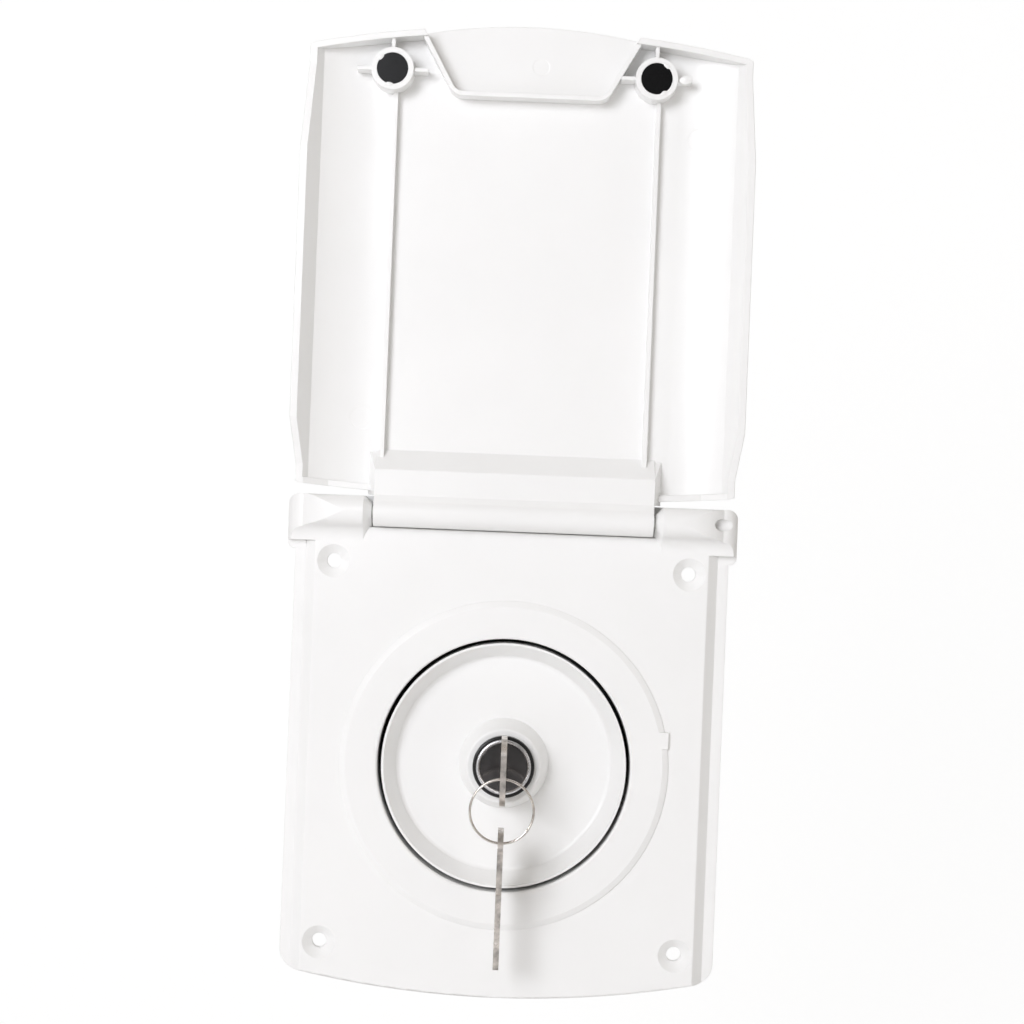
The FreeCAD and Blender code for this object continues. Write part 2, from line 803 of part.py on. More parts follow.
def make_lock_body():
    """The lock's housing: a black bezel on a long threaded barrel with two flats."""
    housing = new_body("lock_body")
    face = -size["lock_face_depth"]
    collar = -size["cap_collar_depth"]
    bezel, barrel = size["lock_bezel_radius"], size["lock_body_radius"]
    soft = size["lock_bezel_round"]
    head_r = size["plug_head_radius"] + size["plug_gap"] + size["trim_ring_width"]
    step = face + size["plug_head_thickness"] + size["plug_gap"]
    profile = sketch_on(housing, "XY_Plane", 0.0)
    draw(profile, [
        (head_r, face),
        (bezel - soft, face),
        (bezel, face + soft, soft, 1),
        (bezel, collar),
        (barrel, collar),
        (barrel, size["lock_body_setback"]),
        (size["plug_radius"] + size["plug_gap"], size["lock_body_setback"]),
        (size["plug_radius"] + size["plug_gap"], step),
        (head_r, step),
    ])
    revolve(housing, profile)
    for side in (1, -1):
        flat = sketch_on(housing, "XZ_Plane", -size["lock_body_setback"])
        draw(flat, rectangle(side * size["lock_flat"], -barrel, side * (barrel + just_past), barrel))
        pocket(housing, flat, size["lock_body_setback"] - collar, ahead=True)
    keep(housing, "lock_body")


def make_trim_ring():
    """The thin bright ring between the bezel and the face of the plug."""
    trim = new_body("lock_trim_ring")
    inner = size["plug_head_radius"] + size["plug_gap"]
    outer = inner + size["trim_ring_width"]
    face = -size["lock_face_depth"]
    back = face + size["plug_head_thickness"] + size["plug_gap"]
    proud = size["trim_ring_proud"]
    crown = (square(size["trim_ring_width"] / 2) + square(proud)) / (2 * proud)
    profile = sketch_on(trim, "XY_Plane", 0.0)
    draw(profile, [(inner, face), (outer, face, crown, 1), (outer, back), (inner, back)])
    revolve(trim, profile)
    keep(trim, "lock_trim_ring")


def wafer_places():
    """How far behind the plug's face each wafer lies."""
    return [size["first_wafer_depth"] + size["wafer_pitch"] * index for index in range(wafer_count)]


def make_lock_plug():
    """The turning plug: its head, the keyway, five wafer slots and the post that carries the bar."""
    plug = new_body("lock_plug")
    face = -size["lock_face_depth"]
    head_back = face + size["plug_head_thickness"]
    end = plug_end
    post_end = end + size["bar_thickness"] + size["keeper_gap"]
    profile = sketch_on(plug, "XY_Plane", 0.0)
    draw(profile, [
        (0.0, face),
        (size["plug_head_radius"], face),
        (size["plug_head_radius"], head_back),
        (size["plug_radius"], head_back),
        (size["plug_radius"], end),
        (size["plug_post_radius"], end),
        (size["plug_post_radius"], post_end),
        (0.0, post_end),
    ])
    revolve(plug, profile)
    for side in (1, -1):
        flat = sketch_on(plug, "XZ_Plane", -post_end)
        draw(flat, rectangle(-size["plug_post_radius"], side * size["plug_post_flat"],
                             size["plug_post_radius"], side * (size["plug_post_radius"] + just_past)))
        pocket(plug, flat, post_end - end, ahead=True)
    keyway = sketch_on(plug, "XZ_Plane", size["lock_face_depth"])
    half_w, half_h = size["keyway_width"] / 2, size["keyway_height"] / 2
    draw(keyway, rectangle(-half_w, -half_h, half_w, half_h))
    pocket(plug, keyway, size["lock_face_depth"] + size["keyway_setback"])
    gap = size["wafer_gap"]
    for place in wafer_places():
        slot = sketch_on(plug, "XZ_Plane", size["lock_face_depth"] - place + gap)
        draw(slot, rectangle(-(size["wafer_width"] / 2 + gap), -(size["plug_radius"] + just_past),
                             size["wafer_width"] / 2 + gap, size["plug_radius"] + just_past))
        pocket(plug, slot, size["wafer_thickness"] + 2 * gap)
    thread = sketch_on(plug, "XZ_Plane", -post_end)
    ring(thread, 0.0, 0.0, size["bar_screw_radius"])
    pocket(plug, thread, size["bar_screw_length"] - size["bar_washer_thickness"], ahead=True)
    keep(plug, "lock_plug")


def make_wafers():
    """The five sprung wafers, each a thin plate with a window that the key's blade passes through."""
    for number, place in enumerate(wafer_places(), start=1):
        label = "lock_wafer_" + str(number)
        wafer = new_body(label)
        plate = sketch_on(wafer, "XZ_Plane", size["lock_face_depth"] - place)
        half_w, half_h = size["wafer_width"] / 2, size["wafer_height"] / 2
        draw(plate, rectangle(-half_w, -half_h, half_w, half_h))
        half_kw = size["keyway_width"] / 2
        half_kh = size["keyway_height"] / 2
        draw(plate, rectangle(-half_kw, -half_kh, half_kw, half_kh))
        pad(wafer, plate, size["wafer_thickness"], back=True)
        keep(wafer, label)


def make_lock_fixings():
    """The washer and nut that clamp the lock in the cap."""
    seat = size["cap_boss_setback"]
    bore = size["lock_body_radius"] + size["lock_hole_gap"]
    washer = new_body("lock_washer")
    flat = sketch_on(washer, "XZ_Plane", -seat)
    ring(flat, 0.0, 0.0, size["washer_radius"])
    ring(flat, 0.0, 0.0, bore)
    pad(washer, flat, size["washer_thickness"], back=True)
    keep(washer, "lock_washer")
    nut = new_body("lock_nut")
    hexagon = sketch_on(nut, "XZ_Plane", -(seat + size["washer_thickness"]))
    across = size["nut_across_flats"] / 2
    corner = size["nut_across_flats"] / root(3.0)
    draw(hexagon, [
        (corner, 0.0), (corner / 2, across), (-corner / 2, across),
        (-corner, 0.0), (-corner / 2, -across), (corner / 2, -across),
    ])
    ring(hexagon, 0.0, 0.0, bore)
    pad(nut, hexagon, size["nut_thickness"], back=True)
    keep(nut, "lock_nut")


def make_locking_bar():
    """The steel bar that turns behind the neck's lip, with the washer and screw that hold it."""
    start = bar_front
    bar = new_body("locking_bar")
    half_l, half_w = size["bar_length"] / 2, size["bar_width"] / 2
    shoulder = root(square(half_l) - square(half_w))
    strip = sketch_on(bar, "XZ_Plane", -start)
    draw(strip, [
        (-shoulder, -half_w, half_l, 1),
        (shoulder, -half_w),
        (shoulder, half_w, half_l, 1),
        (-shoulder, half_w),
    ])
    pad(bar, strip, size["bar_thickness"], back=True)
    hub = sketch_on(bar, "XZ_Plane", -start)
    ring(hub, 0.0, 0.0, size["bar_hub_radius"])
    pad(bar, hub, size["bar_thickness"], back=True)
    post_r = size["plug_post_radius"] + size["wafer_gap"]
    flat = size["plug_post_flat"] + size["wafer_gap"]
    side = root(square(post_r) - square(flat))
    eye = sketch_on(bar, "XZ_Plane", -start)
    draw(eye, [(side, -flat), (side, flat, post_r, 1), (-side, flat), (-side, -flat, post_r, 1)])
    pocket(bar, eye, size["bar_thickness"])
    keep(bar, "locking_bar")

    back = plug_end + size["bar_thickness"] + size["keeper_gap"]
    screw_r = size["bar_screw_radius"]
    washer = new_body("bar_washer")
    flat = sketch_on(washer, "XZ_Plane", -back)
    ring(flat, 0.0, 0.0, size["bar_washer_radius"])
    ring(flat, 0.0, 0.0, screw_r + size["keeper_gap"])
    pad(washer, flat, size["bar_washer_thickness"], back=True)
    keep(washer, "bar_washer")

    screw = new_body("bar_screw")
    head_y = back + size["bar_washer_thickness"]
    head_r, head_t = size["bar_screw_head_radius"], size["bar_screw_head_thickness"]
    profile = sketch_on(screw, "XY_Plane", 0.0)
    draw(profile, [
        (0.0, head_y - size["bar_screw_length"]),
        (screw_r - size["wafer_gap"], head_y - size["bar_screw_length"]),
        (screw_r - size["wafer_gap"], head_y),
        (head_r, head_y),
        (head_r, head_y + head_t / 2),
        (head_r - head_t / 2, head_y + head_t, head_t / 2, 1),
        (0.0, head_y + head_t),
    ])
    revolve(screw, profile)
    cross = sketch_on(screw, "XZ_Plane", -(head_y + head_t))
    arm, blade = head_r * size["cross_arm_share"], head_r * size["cross_blade_share"]
    draw(cross, [
        (arm, -blade), (arm, blade), (blade, blade), (blade, arm), (-blade, arm), (-blade, blade),
        (-arm, blade), (-arm, -blade), (-blade, -blade), (-blade, -arm), (blade, -arm), (blade, -blade),
    ])
    pocket(screw, cross, head_t * size["cross_arm_share"], ahead=True)
    keep(screw, "bar_screw")


def make_key(label):
    """A flat key in the plane of its own blade: the bow's outer end is at -Y, the blade's tip at +Y.

    Its reference point is the centre of the hole in the bow.
    """
    key = new_body(label)
    reach = size["key_hole_edge"] + size["key_hole_radius"]
    bow_back = size["key_bow_length"] - reach
    tip = size["key_length"] - reach
    half_bow, half_blade = size["key_bow_width"] / 2, size["key_blade_height"] / 2
    corner = size["key_bow_width"] / 4
    shoulder = corner / 2
    outline = sketch_on(key, "YZ_Plane", -size["key_thickness"] / 2)
    cut_d = size["key_cut_depth"]
    pitch = size["wafer_pitch"]
    first = bow_back + size["first_wafer_depth"]
    mouth, floor = pitch * size["key_cut_mouth_share"], pitch * size["key_cut_floor_share"]
    teeth_top = []
    for index in range(wafer_count):
        middle = first + pitch * index + size["wafer_thickness"]
        teeth_top += [(middle - mouth, half_blade), (middle - floor, half_blade - cut_d),
                      (middle + floor, half_blade - cut_d), (middle + mouth, half_blade)]
    draw(outline, [
        (-reach, -(half_bow - corner)),
        (corner - reach, -half_bow, corner, 1),
        (bow_back - shoulder, -half_bow),
        (bow_back, -(half_bow - shoulder), shoulder, 1),
        (bow_back, -half_blade),
        (tip - half_blade / 2, -half_blade),
        (tip, -half_blade / 4),
        (tip, half_blade / 4),
        (tip - half_blade / 2, half_blade),
    ] + teeth_top[::-1] + [
        (bow_back, half_blade),
        (bow_back, half_bow - shoulder),
        (bow_back - shoulder, half_bow, shoulder, 1),
        (corner - reach, half_bow),
        (-reach, half_bow - corner, corner, 1),
    ])
    ring(outline, 0.0, 0.0, size["key_hole_radius"])
    pad(key, outline, size["key_thickness"])
    keep(key, label)
    return key


def make_keys():
    """The key in the lock, the ring that hangs from its bow, and the spare that hangs from the ring."""
    reach = size["key_hole_edge"] + size["key_hole_radius"]
    hole_y = size["keyway_setback"] - size["keeper_gap"] - (size["key_length"] - reach)
    key = make_key("key")
    bind(key, "Placement.Base.y", hole_y)
    seat = size["key_hole_radius"] - size["key_wire_radius"] - size["key_wire_gap"]
    ring_z = -(seat + size["key_ring_radius"])
    loop = doc.addObject("Part::Torus", "key_ring")
    loop.Placement = Placement(Vector(0, 0, 0), Rotation(Vector(1, 0, 0), 90))
    bind(loop, "Placement.Base.y", hole_y)
    bind(loop, "Placement.Base.z", ring_z)
    bind(loop, "Radius1", size["key_ring_radius"])
    bind(loop, "Radius2", size["key_wire_radius"])
    keep(loop, "key_ring")
    spare = make_key("spare_key")
    spare.Placement = Placement(Vector(0, 0, 0), Rotation(Vector(1, 0, 0), -90))
    bind(spare, "Placement.Base.y", hole_y)
    bind(spare, "Placement.Base.z", ring_z - size["key_ring_radius"] - seat)


def lid_section(body, inset):
    """The cover's cross-section, open to the front: a flat back, crowned sides and drafted walls."""
    half = size["lid_half_width"]
    crease, crease_d = half - size["lid_side_width"], size["lid_crease_depth"]
    back_d, rim_d = size["lid_back_depth"], size["lid_rim_depth"]
    draft = (half - crease) / (rim_d - crease_d)
    wall_shift = root(1.0 + square(draft)) * inset
    start = half - size["lid_crown_width"]
    floor_d = back_d + inset
    bend_d = crease_d + inset * size["lid_inner_crease_share"]
    rim_x = half - wall_shift
    bend_x = rim_x - (rim_d - bend_d) * draft
    rise, run = bend_d - floor_d, bend_x - start
    radius = (square(run) + square(rise)) / (2 * rise)
    front = rim_d + (beyond if inset else 0.0)
    front_x = rim_x + (front - rim_d) * draft
    sketch = sketch_on(body, "XY_Plane", hinge_z)
    draw(sketch, [
        (-start, -floor_d, radius, -1),
        (start, -floor_d),
        (bend_x, -bend_d, radius, -1),
        (front_x, -front),
        (-front_x, -front),
        (-bend_x, -bend_d),
    ])
    return sketch


def lid_solid(name, inset):
    """The cover's outer form, or with an inset the hollow inside it."""
    length = size["lid_length"]
    bar = new_body(name + "_bar")
    pad(bar, lid_section(bar, 1.0 * inset), length + 2 * beyond)
    half = size["lid_half_width"]
    low_r, high_r = size["lid_hinge_edge_radius"], size["lid_free_edge_radius"] - inset
    low = hinge_z + size["lid_hinge_edge"] + inset + arc_rise(low_r, half)
    high = hinge_z + length - inset - arc_rise(high_r, half)
    plan = new_body(name + "_plan")
    outline = sketch_on(plan, "XZ_Plane", 0.0)
    draw(outline, [(half, high), (-half, high, high_r, 1), (-half, low), (half, low, low_r, 1)])
    pad(plan, outline, size["lid_rim_depth"] + 2 * beyond)
    dress(plan, "Fillet", size["lid_corner_radius"],
          lambda box: any(upright(x, z, box) for x in (half, -half) for z in (low, high)))
    return common(name, [bar, plan])


def pocket_prism(name, spread, low_depth, high_depth):
    """A block with the plan of the finger pocket, grown all round by the spread."""
    block = new_body(name)
    top = hinge_z + size["lid_length"]
    deep = size["pocket_length"]
    lean = (size["pocket_half_width"] - size["pocket_inner_half_width"]) / deep
    slant = root(1.0 + square(lean)) * spread
    inner_z = top - deep - spread
    inner_x = size["pocket_inner_half_width"] + slant - spread * lean
    outer_x = size["pocket_half_width"] + slant + beyond * lean
    outline = sketch_on(block, "XZ_Plane", low_depth)
    draw(outline, [
        (-outer_x, top + beyond),
        (-inner_x, inner_z),
        (inner_x, inner_z),
        (outer_x, top + beyond),
    ])
    pad(block, outline, high_depth - low_depth)
    dress(block, "Fillet", size["pocket_round"] + spread,
          lambda box: upright(inner_x, inner_z, box) or upright(-inner_x, inner_z, box))
    return block


def make_lid_hinge():
    """The knuckle round the pin, and the raised block that joins it to the cover's skin."""
    knuckle = new_body("lid_knuckle")
    half, radius = size["lid_knuckle_half_width"], size["lid_knuckle_radius"]
    edge_z = hinge_z + size["lid_hinge_edge"]
    back_d, floor_d = size["lid_back_depth"], size["lid_free_rim_depth"]
    top_z = edge_z + size["lid_block_top"]
    slope_z = top_z - size["lid_block_slope"]
    diagonal = radius / root(2.0)
    side = sketch_on(knuckle, "YZ_Plane", -half)
    draw(side, [
        (-(hinge_d - radius), hinge_z, radius, 1),
        (-(hinge_d - radius), edge_z),
        (-back_d, edge_z),
        (-back_d, top_z),
        (-(back_d + size["lid_wall"]), top_z),
        (-floor_d, slope_z),
        (-floor_d, edge_z),
        (-(hinge_d + diagonal), hinge_z + diagonal),
        (-(hinge_d + radius), hinge_z, radius, 1),
        (-hinge_d, hinge_z - radius, radius, 1),
    ])
    pad(knuckle, side, 2 * half)
    block = doc.addObject("Part::Wedge", "lid_hinge_block")
    wide = half + size["lid_block_spread"]
    for place, value in (
        ("Xmin", -half), ("Xmax", half), ("Ymin", -floor_d), ("Zmin", edge_z), ("Zmax", slope_z),
        ("X2min", -wide), ("X2max", wide), ("Ymax", -(back_d + size["lid_wall"] / 2)),
        ("Z2min", edge_z), ("Z2max", top_z),
    ):
        bind(block, place, value)
    return [knuckle, block]


def make_magnet_seats():
    """The two magnet bosses, their gussets and the long ribs that run from them to the hinge."""
    pieces = []
    floor_d = size["lid_back_depth"] + size["lid_wall"] / 2
    face = size["lid_free_rim_depth"]
    gusset = size["gusset_thickness"] / 2
    reach = size["boss_radius"] + size["gusset_length"]
    rib = size["lid_rib_thickness"] / 2
    rib_low = hinge_z + size["lid_hinge_edge"] + size["lid_rib_start"]
    for side, word in ((-1, "left"), (1, "right")):
        x = magnet_x(side)
        rib_x = side * size["magnet_spread"] - size["lid_rib_shift"]
        pieces.append(rod_out("boss_" + word, x, magnet_z, floor_d, face, size["boss_radius"]))
        pieces.append(box_at("gusset_across_" + word,
                             (x - reach, -(face - size["gusset_step"]), magnet_z - gusset),
                             (x + reach, -floor_d, magnet_z + gusset)))
        pieces.append(box_at("gusset_up_" + word,
                             (x - gusset, -(face - size["gusset_step"]), magnet_z),
                             (x + gusset, -floor_d, magnet_z + reach)))
        pieces.append(box_at("rib_" + word, (rib_x - rib, -size["lid_rib_depth"], rib_low),
                             (rib_x + rib, -floor_d, magnet_z)))
    return pieces


def make_pull_lip():
    """The lip that the skin pushes out past the rim between the pocket's walls, for a finger to pull on."""
    lip = new_body("pull_lip")
    half, free_r = size["pocket_half_width"], size["lid_free_edge_radius"]
    end_z = hinge_z + size["lid_length"] - arc_rise(free_r, half)
    rise = arc_rise(free_r, half) + size["pull_lip_proud"]
    lip_r = (square(half) + square(rise)) / (2 * rise)
    low = end_z - size["pull_lip_root"]
    outline = sketch_on(lip, "XZ_Plane", size["lid_back_depth"])
    draw(outline, [(half, end_z), (-half, end_z, lip_r, 1), (-half, low), (half, low)])
    pad(lip, outline, size["lid_wall"])
    return lip


def make_rim_line():
    """What lies in front of the rim, which is low by the ears, high along the sides and lower at the end."""
    line = new_body("rim_line")
    top = hinge_z + size["lid_length"]
    over = size["lid_rim_depth"] + beyond
    low_z = hinge_z + size["lid_hinge_edge"] - beyond
    ear_end = 2 * hinge_z - fairing(size["ear_skirt_radius"], flange_d)[0] + size["lid_ear_gap"]
    across = ear_outer + beyond
    side = sketch_on(line, "YZ_Plane", -across)
    draw(side, [
        (-over, low_z),
        (-size["lid_corner_rim_depth"], low_z),
        (-size["lid_corner_rim_depth"], ear_end),
        (-size["lid_rim_depth"], ear_end + size["lid_rim_rise"]),
        (-size["lid_rim_depth"], top - size["lid_rim_fall_start"]),
        (-size["lid_free_rim_depth"], top - size["lid_rim_fall_end"]),
        (-size["lid_free_rim_depth"], top + beyond),
        (-over, top + beyond),
    ])
    pad(line, side, 2 * across)
    return line


def make_hinge_rim_line():
    """What lies in front of the rim along the hinge, where it is low between the two corners."""
    line = new_body("hinge_rim_line")
    edge_z = hinge_z + size["lid_hinge_edge"]
    over = size["lid_rim_depth"] + beyond
    high = ear_outer - size["lid_hinge_rim_inset"]
    low = high - size["lid_hinge_rim_rise"]
    shape = sketch_on(line, "XY_Plane", edge_z - beyond)
    draw(shape, [
        (-high, -over),
        (high, -over),
        (high, -size["lid_corner_rim_depth"]),
        (low, -size["lid_hinge_rim_depth"]),
        (-low, -size["lid_hinge_rim_depth"]),
        (-high, -size["lid_corner_rim_depth"]),
    ])
    pad(line, shape, beyond + size["lid_wall"] + size["lid_hinge_rim_length"])
    return line


def make_lid():
    """The hinged cover: a crowned tray with a finger pocket, ribs, magnet bosses and the hinge knuckle."""
    half = size["lid_half_width"]
    outer = lid_solid("lid_outer", 0.0)
    inner = lid_solid("lid_inner", size["lid_wall"])
    shell = cut("lid_shell", outer, inner)
    free_d, over = size["lid_free_rim_depth"], size["lid_rim_depth"] + beyond
    pocket_wall = pocket_prism("pocket_outer", size["pocket_wall"],
                               size["lid_back_depth"] + size["lid_wall"] / 2, size["pocket_rim_depth"])
    wall = common("pocket_in_lid", [pocket_wall, outer])
    inside = fuse("lid_inside", [shell, wall, make_pull_lip()] + make_magnet_seats())
    cuts = [
        make_rim_line(),
        make_hinge_rim_line(),
        pocket_prism("pocket_inner", 0.0 * size["pocket_wall"],
                     size["lid_back_depth"] + size["lid_wall"], over),
    ]
    for side, word in ((-1, "left"), (1, "right")):
        deep = free_d - size["magnet_thickness"] - size["magnet_gap"]
        cuts.append(rod_out("magnet_hole_" + word, magnet_x(side), magnet_z, deep, over,
                            size["magnet_radius"] + size["magnet_gap"]))
    trimmed = inside
    for tool in cuts:
        trimmed = cut("lid_trimmed", trimmed, tool)
    whole = fuse("lid_whole", [trimmed] + make_lid_hinge())
    bore = rod_across("knuckle_bore", -(half + beyond), 2 * (half + beyond), hinge_d, hinge_z,
                      size["hinge_pin_radius"] + size["hinge_bore_gap"])
    keep(cut("lid", whole, bore), "lid")


def make_magnets():
    for side, label in ((-1, "lid_magnet_left"), (1, "lid_magnet_right")):
        face = size["lid_free_rim_depth"]
        disc = rod_out(label, magnet_x(side), magnet_z, face - size["magnet_thickness"], face,
                       size["magnet_radius"])
        keep(disc, label)


make_base_plate()
make_hinge_pin()
make_keepers()
make_filler_neck()
make_filler_cap()
make_cap_seal()
make_lock_body()
make_trim_ring()
make_lock_plug()
make_wafers()
make_lock_fixings()
make_locking_bar()
make_keys()
make_lid()
make_magnets()
doc.recompute()

for item in doc.Objects:
    if "Invalid" in item.State or "Error" in item.State:
        raise RuntimeError(item.Label + " failed: " + str(item.State))
for node in nodes:
    if node.Shape.isNull() or not node.Shape.isValid():
        raise RuntimeError(node.Label + " has no valid shape")

os.makedirs("parts", exist_ok=True)
for node in nodes:
    node.Shape.exportStep("parts/" + node.Label + ".step")
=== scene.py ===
import math
import random

import bpy
from bpy.props import FloatProperty, FloatVectorProperty, PointerProperty
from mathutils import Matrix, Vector


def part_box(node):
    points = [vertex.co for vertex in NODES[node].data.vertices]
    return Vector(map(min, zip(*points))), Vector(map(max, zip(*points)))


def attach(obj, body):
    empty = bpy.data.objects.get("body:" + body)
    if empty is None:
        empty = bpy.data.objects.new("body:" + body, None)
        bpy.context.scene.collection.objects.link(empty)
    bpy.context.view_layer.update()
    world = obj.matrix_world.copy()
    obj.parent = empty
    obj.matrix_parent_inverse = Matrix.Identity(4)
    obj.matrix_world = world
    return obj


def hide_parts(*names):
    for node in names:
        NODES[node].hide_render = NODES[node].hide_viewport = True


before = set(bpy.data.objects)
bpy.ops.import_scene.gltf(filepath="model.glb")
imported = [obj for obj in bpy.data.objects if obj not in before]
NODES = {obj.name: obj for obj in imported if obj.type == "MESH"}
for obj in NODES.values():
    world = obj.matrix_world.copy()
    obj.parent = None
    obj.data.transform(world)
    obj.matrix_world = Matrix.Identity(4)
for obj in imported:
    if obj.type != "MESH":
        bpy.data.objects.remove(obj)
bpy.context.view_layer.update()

bl_info = {
    "name": "Caravan water filler hatch",
    "version": (1, 0, 0),
    "blender": (4, 5, 0),
    "location": "3D View > Sidebar > Hatch",
    "description": "Dresses the packed water filler hatch with its finishes, keys and studio",
    "category": "Object",
}

MM = 0.001

# The split ring: how finely it is wound, how far, and how square its wire is.
RING_STEPS = 96
RING_TURNS = 1.93
RING_START = 0.6
RING_CROSS_START = 0.93
RING_CROSS_SPAN = 0.13
RING_SIDES = 12
RING_SQUARENESS = 0.7
RING_SHARE = 0.96

# The paper sweep behind and under the hatch, in metres.
PAPER_STEPS = 24
PAPER_BACK = 0.75
PAPER_BEND = 0.35
PAPER_FLOOR = -0.30
PAPER_FRONT = -2.5
PAPER_TOP = 2.2
PAPER_HALF_WIDTH = 3.0

# The camera and what the lamps are turned to, in metres, with the picture's size in pixels.
SENSOR_MM = 36.0
PICTURE_PIXELS = 1024
CAMERA_X = -0.0006
CAMERA_Z = 0.0897
LAMPS_AIM = (0, 0, 0.09)


def linear(code):
    """An sRGB hex colour as the linear colour that the shaders take."""
    parts = [int(code[i:i + 2], 16) / 255.0 for i in (1, 3, 5)]
    return tuple(c / 12.92 if c <= 0.04045 else ((c + 0.055) / 1.055) ** 2.4 for c in parts)


def add(tree, kind, settings=None, links=None):
    """Add a node with its settings, and link its inputs to the sockets given."""
    made = tree.nodes.new("ShaderNode" + kind)
    for name, value in (settings or {}).items():
        if isinstance(name, str) and hasattr(made, name):
            setattr(made, name, value)
        else:
            made.inputs[name].default_value = value
    for name, socket in (links or {}).items():
        tree.links.new(socket, made.inputs[name])
    return made


def blank(name):
    """A material with a bare surface shader joined to its output."""
    material = bpy.data.materials.new(name)
    material.use_nodes = True
    tree = material.node_tree
    tree.nodes.clear()
    out = add(tree, "OutputMaterial")
    skin = add(tree, "BsdfPrincipled")
    tree.links.new(skin.outputs[0], out.inputs[0])
    return material, tree, skin


def tint(tree, factor, stops):
    """A colour ramp over a factor, from stops of (place, colour)."""
    ramp = add(tree, "ValToRGB", links={0: factor})
    band = ramp.color_ramp
    while len(band.elements) < len(stops):
        band.elements.new(0.5)
    for element, (place, colour) in zip(band.elements, stops):
        element.position = place
        element.color = (*colour, 1.0)
    return ramp.outputs[0]


def scaled(colour, share):
    return tuple(c * share for c in colour)


def moulded_abs(colour, marks=(), name="moulded_white_abs"):
    """White ABS from a polished mould: an even satin gloss, with a slight waviness over the thin skins.

    Marks are the places, in metres, where ejector pins left a faint ring about 8 mm across.
    """
    material, tree, skin = blank(name)
    place = add(tree, "TexCoord").outputs["Object"]
    # Flow of the melt: a tint that drifts over about 60 mm.
    drift = add(tree, "TexNoise", {"Scale": 16.0, "Detail": 3.0, "Roughness": 0.5}, {"Vector": place})
    # Orange peel of the mould's polish, about 1.2 mm from crest to crest.
    peel = add(tree, "TexNoise", {"Scale": 850.0, "Detail": 2.0}, {"Vector": place})
    shade = tint(tree, drift.outputs[0], [(0.3, scaled(colour, 0.975)), (0.7, colour)])
    gloss = add(tree, "MapRange", {"From Min": 0.3, "From Max": 0.7, "To Min": 0.30, "To Max": 0.38},
                {"Value": drift.outputs[0]})
    tree.links.new(shade, skin.inputs["Base Color"])
    tree.links.new(gloss.outputs[0], skin.inputs["Roughness"])
    skin.inputs["IOR"].default_value = 1.54
    # The mould leaves its edges slightly round, about 0.35 mm, so each edge carries a soft line of light.
    edge = add(tree, "Bevel", {"samples": 4, "Radius": 0.35 * MM})
    relief = add(tree, "Bump", {"Strength": 0.06, "Distance": 0.02 * MM},
                 {"Height": peel.outputs[0], "Normal": edge.outputs[0]})
    # Sink and warp of a thin wall: long shallow waves, about 30 mm.
    wave = add(tree, "TexNoise", {"Scale": 33.0, "Detail": 1.0}, {"Vector": place})
    relief = add(tree, "Bump", {"Strength": 0.25, "Distance": 0.12 * MM},
                 {"Height": wave.outputs[0], "Normal": relief.outputs[0]})
    for x, z, radius in marks:
        away = add(tree, "VectorMath", {"operation": "SUBTRACT", 1: (x, 0.0, z)}, {0: place})
        flat = add(tree, "VectorMath", {"operation": "MULTIPLY", 1: (1.0, 0.0, 1.0)}, {0: away.outputs[0]})
        far = add(tree, "VectorMath", {"operation": "LENGTH"}, {0: flat.outputs[0]})
        band = add(tree, "MapRange", {"interpolation_type": "SMOOTHSTEP", "From Min": radius - 0.25 * MM,
                                      "From Max": radius + 0.25 * MM}, {"Value": far.outputs["Value"]})
        relief = add(tree, "Bump", {"Strength": 1.0, "Distance": 0.08 * MM},
                     {"Height": band.outputs[0], "Normal": relief.outputs[0]})
    tree.links.new(relief.outputs[0], skin.inputs["Normal"])
    return material


def plated_metal(name, colour, roughness, grain_mm=0.25, wear=0.5, dark=0.6):
    """Plated metal: a mirror softened by fine wear, a little duller and darker in patches."""
    material, tree, skin = blank(name)
    place = add(tree, "TexCoord").outputs["Object"]
    patch = add(tree, "TexNoise", {"Scale": 180.0, "Detail": 6.0, "Roughness": 0.6}, {"Vector": place})
    fine = add(tree, "TexNoise", {"Scale": 1.0 / (grain_mm * MM), "Detail": 2.0}, {"Vector": place})
    # Where the dark share is low, as on the keys, these darker patches are also painted reflection.
    shade = tint(tree, patch.outputs[0], [(0.35, scaled(colour, dark)), (0.62, colour)])
    rough = add(tree, "MapRange", {"From Min": 0.35, "From Max": 0.65, "To Min": roughness * (1.0 + wear),
                                   "To Max": roughness}, {"Value": patch.outputs[0]})
    edge = add(tree, "Bevel", {"samples": 4, "Radius": 0.2 * MM})
    relief = add(tree, "Bump", {"Strength": 0.15, "Distance": 0.01 * MM},
                 {"Height": fine.outputs[0], "Normal": edge.outputs[0]})
    tree.links.new(shade, skin.inputs["Base Color"])
    tree.links.new(rough.outputs[0], skin.inputs["Roughness"])
    tree.links.new(relief.outputs[0], skin.inputs["Normal"])
    skin.inputs["Metallic"].default_value = 1.0
    return material


def black_coat(name, colour, roughness):
    """A thin black coat over cast metal: deep black with a soft sheen and a fine tooth."""
    material, tree, skin = blank(name)
    place = add(tree, "TexCoord").outputs["Object"]
    tooth = add(tree, "TexNoise", {"Scale": 2500.0, "Detail": 3.0}, {"Vector": place})
    shade = tint(tree, tooth.outputs[0], [(0.3, scaled(colour, 0.6)), (0.7, colour)])
    rough = add(tree, "MapRange", {"To Min": roughness * 0.85, "To Max": roughness * 1.2},
                {"Value": tooth.outputs[0]})
    relief = add(tree, "Bump", {"Strength": 0.2, "Distance": 0.01 * MM}, {"Height": tooth.outputs[0]})
    tree.links.new(shade, skin.inputs["Base Color"])
    tree.links.new(rough.outputs[0], skin.inputs["Roughness"])
    tree.links.new(relief.outputs[0], skin.inputs["Normal"])
    skin.inputs["IOR"].default_value = 1.5
    return material


